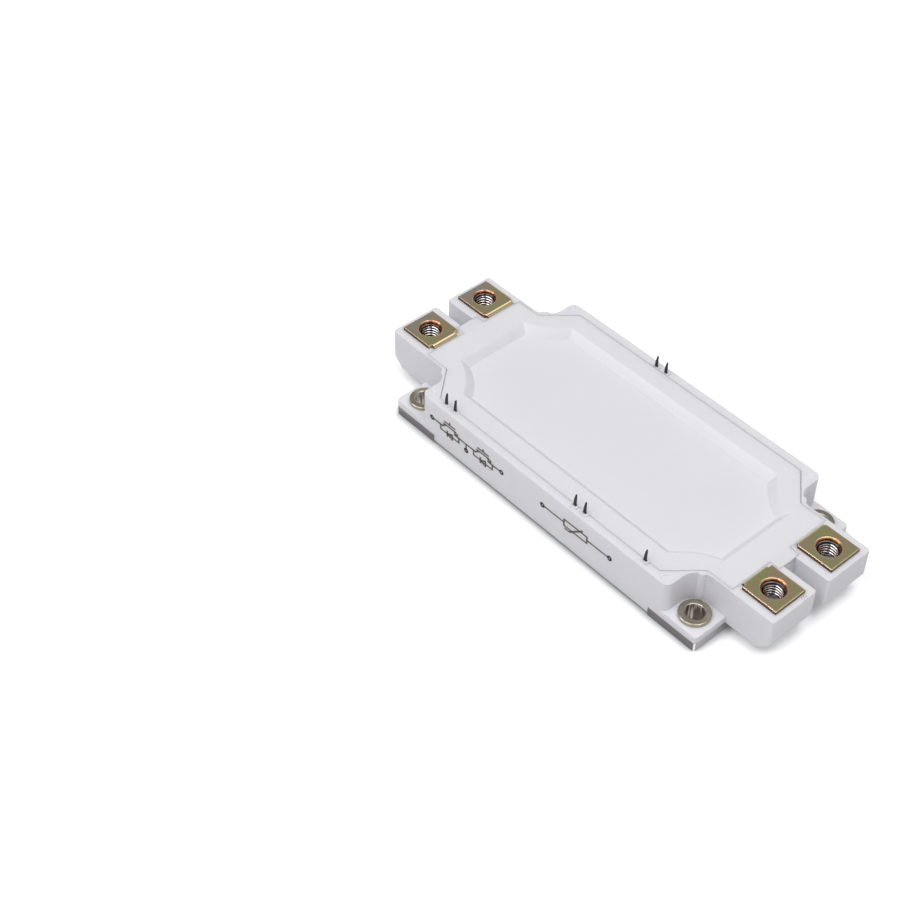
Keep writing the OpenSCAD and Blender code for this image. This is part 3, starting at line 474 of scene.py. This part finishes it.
def bushing_mesh():
    """Turned bushing with a rolled, rounded head; heights run from its lower end."""
    bore_r = mount("heatsink_screws")["dims"]["hole_r_mm"] * MM
    head_r = (bushing_high.x - bushing_low.x) / 2
    height = bushing_high.z - bushing_low.z
    head_h = 1.1 * MM
    shank_r = head_r - 0.9 * MM
    foot_round = 0.3 * MM
    outer_round = 0.3 * MM
    mouth_round = 0.35 * MM
    profile = [(bore_r, 0), (shank_r - foot_round, 0)]
    profile += arc((shank_r - foot_round, foot_round), foot_round, -90, 0, 4)
    profile += [(shank_r, height - head_h), (head_r, height - head_h)]
    profile += arc((head_r - outer_round, height - outer_round), outer_round, 0, 90, 8)
    profile += arc((bore_r + mouth_round, height - mouth_round), mouth_round, 90, 180, 10)
    return lathe("bushing_form", [profile] * 96)


def threaded_nut_mesh():
    """Hexagon nut with an M6 thread: one radius at each height and angle, so it is one closed grid."""
    flat_r = (nut_high.x - nut_low.x) / 2
    corner_r = flat_r / math.cos(math.radians(30))
    height = nut_high.z - nut_low.z
    mouth_r = 3.15 * MM
    corner_ease = 0.5 * MM
    face_r = flat_r - 0.4 * MM
    steps = 96
    per_pitch = 14
    levels = round(height / THREAD_PITCH * per_pitch)
    slope = math.tan(math.radians(30))
    profiles = []
    for k in range(steps):
        side = (TAU * k / steps % (TAU / 6)) - TAU / 12
        hex_r = flat_r / math.cos(side)
        ease = max(0.0, hex_r - (corner_r - corner_ease)) * slope
        points = []
        for i in range(levels + 1):
            z = height * i / levels
            phase = (z / THREAD_PITCH - k / steps) % 1.0
            groove = 1 - abs(2 * phase - 1)
            flank = min(1.0, max(0.0, (groove - 0.15) / 0.70))
            radius = THREAD_MINOR_R + (THREAD_MAJOR_R - THREAD_MINOR_R) * flank
            mouth = mouth_r - min(z, height - z)
            points.append((max(radius, mouth), z))
        points += [(face_r, height), (hex_r, height - ease), (hex_r, ease), (face_r, 0)]
        profiles.append(points)
    return lathe("nut_form", profiles)


def on_hole_grid(name, form, spacing, height, material):
    """Repeats a form at the four corners of a hole grid with Geometry Nodes, as a plain mesh."""
    pattern = bpy.data.objects.new(name + "_form", form)
    tree = bpy.data.node_groups.new(name + "_grid", "GeometryNodeTree")
    tree.interface.new_socket("Geometry", in_out="OUTPUT", socket_type="NodeSocketGeometry")
    for label in ("Spacing X", "Spacing Y", "Height"):
        tree.interface.new_socket(label, in_out="INPUT", socket_type="NodeSocketFloat")
    sizes = add(tree, "NodeGroupInput").outputs
    corners = add(tree, "GeometryNodeMeshGrid", {"Size X": sizes["Spacing X"],
                                                 "Size Y": sizes["Spacing Y"],
                                                 "Vertices X": 2, "Vertices Y": 2})
    lift = add(tree, "ShaderNodeCombineXYZ", {"Z": sizes["Height"]})
    raised = add(tree, "GeometryNodeSetPosition", {"Geometry": corners.outputs["Mesh"],
                                                   "Offset": lift.outputs["Vector"]})
    source = add(tree, "GeometryNodeObjectInfo", {"Object": pattern}, transform_space="ORIGINAL")
    spread = add(tree, "GeometryNodeInstanceOnPoints", {"Points": raised.outputs["Geometry"],
                                                        "Instance": source.outputs["Geometry"]})
    solid = add(tree, "GeometryNodeRealizeInstances", {"Geometry": spread.outputs["Instances"]})
    finished = add(tree, "GeometryNodeSetMaterial", {"Geometry": solid.outputs["Geometry"],
                                                     "Material": material})
    add(tree, "NodeGroupOutput", {"Geometry": finished.outputs["Geometry"]})
    carrier = bpy.data.objects.new(name + "_carrier", bpy.data.meshes.new(name + "_carrier"))
    bpy.context.collection.objects.link(carrier)
    modifier = carrier.modifiers.new("grid", "NODES")
    modifier.node_group = tree
    values = {"Spacing X": spacing[0], "Spacing Y": spacing[1], "Height": height}
    for item in tree.interface.items_tree:
        if item.in_out == "INPUT":
            modifier[item.identifier] = values[item.name]
    graph = bpy.context.evaluated_depsgraph_get()
    mesh = bpy.data.meshes.new_from_object(carrier.evaluated_get(graph))
    bpy.data.objects.remove(carrier)
    bpy.data.objects.remove(pattern)
    return mesh


def corner_nodes(kind):
    """The four CAD node names of a piece that sits at each corner."""
    return [name for name in frame["nodes"] if name.startswith(kind + "_")]


bushings = on_hole_grid("bushings", bushing_mesh(), grid_spacing("heatsink_screws"), bushing_low.z,
                        bushing_nickel)
smooth_by_angle(bushings, 40)
new_piece("mounting_bushings", bushings, bushing_nickel, "bushing_steel", *corner_nodes("bushing"))

nuts = on_hole_grid("nuts", threaded_nut_mesh(), grid_spacing("terminal_screws"), nut_low.z, nut_steel)
smooth_by_angle(nuts, 50)
new_piece("threaded_nuts", nuts, nut_steel, "nut_steel", *corner_nodes("nut"))


# ---- Laser marks on the front wall ----------------------------------------------------------

def raised_plate(shape, outline, front_y, back_y):
    """Closed thin plate on the front wall from a convex outline of (x, z) points."""
    front = [shape.verts.new((x, front_y, z)) for x, z in outline]
    back = [shape.verts.new((x, back_y, z)) for x, z in outline]
    shape.faces.new(front)
    shape.faces.new(back[::-1])
    for i in range(len(outline)):
        j = (i + 1) % len(outline)
        shape.faces.new((front[i], back[i], back[j], front[j]))


def ring_points(centre, radius, steps):
    """Points round a circle, its first point repeated at the end."""
    turns = [TAU * k / steps for k in range(steps + 1)]
    return [(centre[0] + radius * math.cos(t), centre[1] + radius * math.sin(t)) for t in turns]


def switch_and_diode(at):
    """Strokes of a transistor symbol with its diode across it, lying on its side; millimetres."""
    lines = [
        [(-2.6, 1.2), (2.6, 1.2)],
        [(-2.2, 2.2), (2.2, 2.2)],
        [(0.0, 2.2), (0.0, 3.0)],
        [(-1.7, 1.2), (-3.2, -0.1), (-4.6, -0.1)],
        [(1.7, 1.2), (3.2, -0.1), (4.6, -0.1)],
        [(3.3, 1.0), (3.2, -0.1), (2.1, 0.0)],
        [(-4.0, -0.1), (-4.0, -1.9), (4.0, -1.9), (4.0, -0.1)],
        [(-1.1, -0.9), (-1.1, -2.9)],
        [(1.1, -0.9), (-1.1, -1.9), (1.1, -2.9), (1.1, -0.9)],
    ]
    return [[(at + x, z) for x, z in line] for line in lines]


def laser_marks():
    """The circuit of a half bridge and of its thermistor, as lines 0.02 mm proud of the wall."""
    width = 0.6 * MM
    front_y = frame_low.y - 0.02 * MM
    back_y = frame_low.y + 0.01 * MM
    bridge_middle = (-29.7, 9.7)
    sensor_middle = (15.4, 9.7)
    bridge = switch_and_diode(-7.2) + switch_and_diode(7.2)
    bridge += [[(-14.4, -0.1), (-11.8, -0.1)], [(-2.6, -0.1), (2.6, -0.1)],
               [(11.8, -0.1), (14.4, -0.1)]]
    bridge += [[(0.0, -0.1), (0.0, -2.0)], ring_points((0.0, -2.6), 0.6, 16)]
    bridge += [ring_points((side * 15.0, -0.1), 0.6, 16) for side in (-1, 1)]
    sensor = [[(-12.6, 0.0), (-4.5, 0.0)], [(4.5, 0.0), (12.6, 0.0)]]
    sensor += [[(-4.5, -1.2), (4.5, -1.2), (4.5, 1.2), (-4.5, 1.2), (-4.5, -1.2)]]
    sensor += [[(-4.0, -2.1), (-2.2, -2.1), (2.6, 2.0)]]
    sensor += [ring_points((side * 13.2, 0.0), 0.6, 16) for side in (-1, 1)]
    shape = bmesh.new()
    for lines, middle in ((bridge, bridge_middle), (sensor, sensor_middle)):
        for line in lines:
            points = [Vector((middle[0] + x, middle[1] + z)) * MM for x, z in line]
            for a, b in zip(points, points[1:]):
                side = (b - a).orthogonal().normalized() * width / 2
                raised_plate(shape, [a - side, b - side, b + side, a + side], front_y, back_y)
            for p in points:
                raised_plate(shape, ring_points(p, width / 2, 12)[:-1], front_y, back_y)
    return finished_mesh("laser_marks", shape)


new_piece("laser_marks", laser_marks(), mark_brown, "white_moulding")


# ---- Studio ---------------------------------------------------------------------------------

def studio_floor():
    """Plain pale floor: light grey to diffuse rays, white to the camera and to reflections."""
    half = 3.0
    contact_white = (1.5, 1.5, 1.5, 1)
    diffuse_grey = (0.78, 0.78, 0.78, 1)
    white = (1, 1, 1, 1)
    fade_start = 0.22
    fade_end = 0.5
    mesh = bpy.data.meshes.new("studio_floor")
    mesh.from_pydata([(-half, -half, 0), (half, -half, 0), (half, half, 0), (-half, half, 0)], [],
                     [(0, 1, 2, 3)])
    floor = bpy.data.objects.new("studio_floor", mesh)
    floor.location.z = base_bottom - 0.02 * MM
    bpy.context.collection.objects.link(floor)
    material, tree, shader = start_material("studio_floor_paper", Roughness=0.9)
    shader.inputs["Specular IOR Level"].default_value = 0.0
    rays = add(tree, "ShaderNodeLightPath").outputs
    seen = add(tree, "ShaderNodeMath", {0: rays["Is Camera Ray"], 1: rays["Is Transmission Ray"]},
               operation="MAXIMUM")
    # A thin dark shade where the module meets the paper reaches out some 3 mm.
    contact = add(tree, "ShaderNodeAmbientOcclusion", {"Color": contact_white, "Distance": 3.5 * MM},
                  samples=8)
    mirrored = add(tree, "ShaderNodeMix", {"Factor": rays["Is Glossy Ray"], "A": diffuse_grey,
                                           "B": white}, data_type="RGBA")
    paper = add(tree, "ShaderNodeMix", {"Factor": seen.outputs[0], "A": mirrored.outputs["Result"],
                                        "B": contact.outputs["Color"]}, data_type="RGBA")
    tree.links.new(paper.outputs["Result"], shader.inputs["Base Color"])
    # Away from the module the camera and reflections see plain white as far as the horizon.
    place = add(tree, "ShaderNodeTexCoord").outputs["Object"]
    away = add(tree, "ShaderNodeVectorMath", {0: place}, operation="LENGTH").outputs["Value"]
    far = add(tree, "ShaderNodeMapRange", {"Value": away, "From Min": fade_start, "From Max": fade_end})
    looked_at = add(tree, "ShaderNodeMath", {0: seen.outputs[0], 1: rays["Is Glossy Ray"]},
                    operation="MAXIMUM")
    fade = add(tree, "ShaderNodeMath", {0: far.outputs["Result"], 1: looked_at.outputs[0]},
               operation="MULTIPLY")
    glow = add(tree, "ShaderNodeEmission", {"Color": white, "Strength": 1.0})
    surface = add(tree, "ShaderNodeMixShader", {0: fade.outputs[0], 1: shader.outputs["BSDF"],
                                                2: glow.outputs["Emission"]})
    tree.links.new(surface.outputs[0], tree.nodes["Material Output"].inputs["Surface"])
    mesh.materials.append(material)


def studio_world():
    """White to the camera, a graded grey tent to reflections, and a low even light on the object."""
    # Heights from the horizon, 0, to overhead, 1, and the grey that reflections see there.
    tent_greys = ((0.0, 1.0), (0.34, 0.60), (0.62, 0.42), (0.84, 0.38), (0.93, 0.95))
    world = bpy.data.worlds.new("studio_world")
    bpy.context.scene.world = world
    world.use_nodes = True
    tree = world.node_tree
    tree.nodes.clear()
    rays = add(tree, "ShaderNodeLightPath").outputs
    skyward = add(tree, "ShaderNodeTexCoord").outputs["Generated"]
    height = add(tree, "ShaderNodeSeparateXYZ", {"Vector": skyward}).outputs["Z"]
    tent = add(tree, "ShaderNodeValToRGB", {"Fac": height})
    stops = tent.color_ramp.elements
    for place, grey in tent_greys:
        stop = stops.new(place)
        stop.color = (grey, grey, grey, 1)
    stops.remove(stops[-1])
    stops.remove(stops[0])
    fill = add(tree, "ShaderNodeBackground", {"Color": (0.97, 0.985, 1.0, 1), "Strength": 0.27})
    mirror = add(tree, "ShaderNodeBackground", {"Color": tent.outputs["Color"], "Strength": 1.0})
    white = add(tree, "ShaderNodeBackground", {"Color": (1, 1, 1, 1), "Strength": 1.0})
    seen = add(tree, "ShaderNodeMath", {0: rays["Is Camera Ray"], 1: rays["Is Transmission Ray"]},
               operation="MAXIMUM")
    lit = add(tree, "ShaderNodeMixShader", {0: rays["Is Glossy Ray"], 1: fill.outputs[0],
                                            2: mirror.outputs[0]})
    both = add(tree, "ShaderNodeMixShader", {0: seen.outputs[0], 1: lit.outputs[0],
                                             2: white.outputs[0]})
    add(tree, "ShaderNodeOutputWorld", {"Surface": both.outputs[0]})


def softbox(name, place, size, watts, lights_matt):
    """A square soft light aimed at the module; without lights_matt it is hidden from diffuse rays."""
    lamp = bpy.data.lights.new(name, "AREA")
    lamp.size = size
    lamp.energy = watts
    holder = bpy.data.objects.new(name, lamp)
    holder.location = place
    aim = Vector((0, 0, 0.01)) - Vector(place)
    holder.rotation_euler = aim.to_track_quat("-Z", "Y").to_euler()
    holder.visible_camera = False
    holder.visible_diffuse = lights_matt
    bpy.context.collection.objects.link(holder)


def studio_camera():
    """Looks down on the front right corner from about 45 degrees above, through a 70 mm lens."""
    azimuth = math.radians(48.72)
    elevation = math.radians(44.81)
    roll = math.radians(0.16)
    place = Vector((236.1, -270.5, 362.7)) * MM
    ahead = Vector((-math.sin(azimuth) * math.cos(elevation), math.cos(azimuth) * math.cos(elevation),
                    -math.sin(elevation)))
    data = bpy.data.cameras.new("studio_camera")
    data.sensor_width = 36.0
    data.lens = 69.84
    camera = bpy.data.objects.new("studio_camera", data)
    turn = ahead.to_track_quat("-Z", "Y").to_matrix().to_4x4()
    camera.matrix_world = Matrix.Translation(place) @ turn @ Matrix.Rotation(roll, 4, "Z")
    bpy.context.collection.objects.link(camera)
    bpy.context.scene.camera = camera


studio_floor()
studio_world()
# Name, place and size in metres, watts, and whether it lights matt faces.
for lamp_row in (("overhead_softbox", (0.15, 0.35, 1.05), 0.8, 3.15, True),
                 ("right_softbox", (0.50, 0.0, 1.0), 0.5, 1.9, True),
                 ("front_softbox", (0.0, -0.66, 0.90), 0.6, 3.95, True),
                 ("left_softbox", (-0.55, -0.42, 0.78), 0.4, 1.0, True),
                 ("edge_card", (-0.46, -0.78, 0.42), 0.45, 3.0, False)):
    softbox(*lamp_row)
studio_camera()
bpy.context.scene.view_settings.view_transform = "Standard"
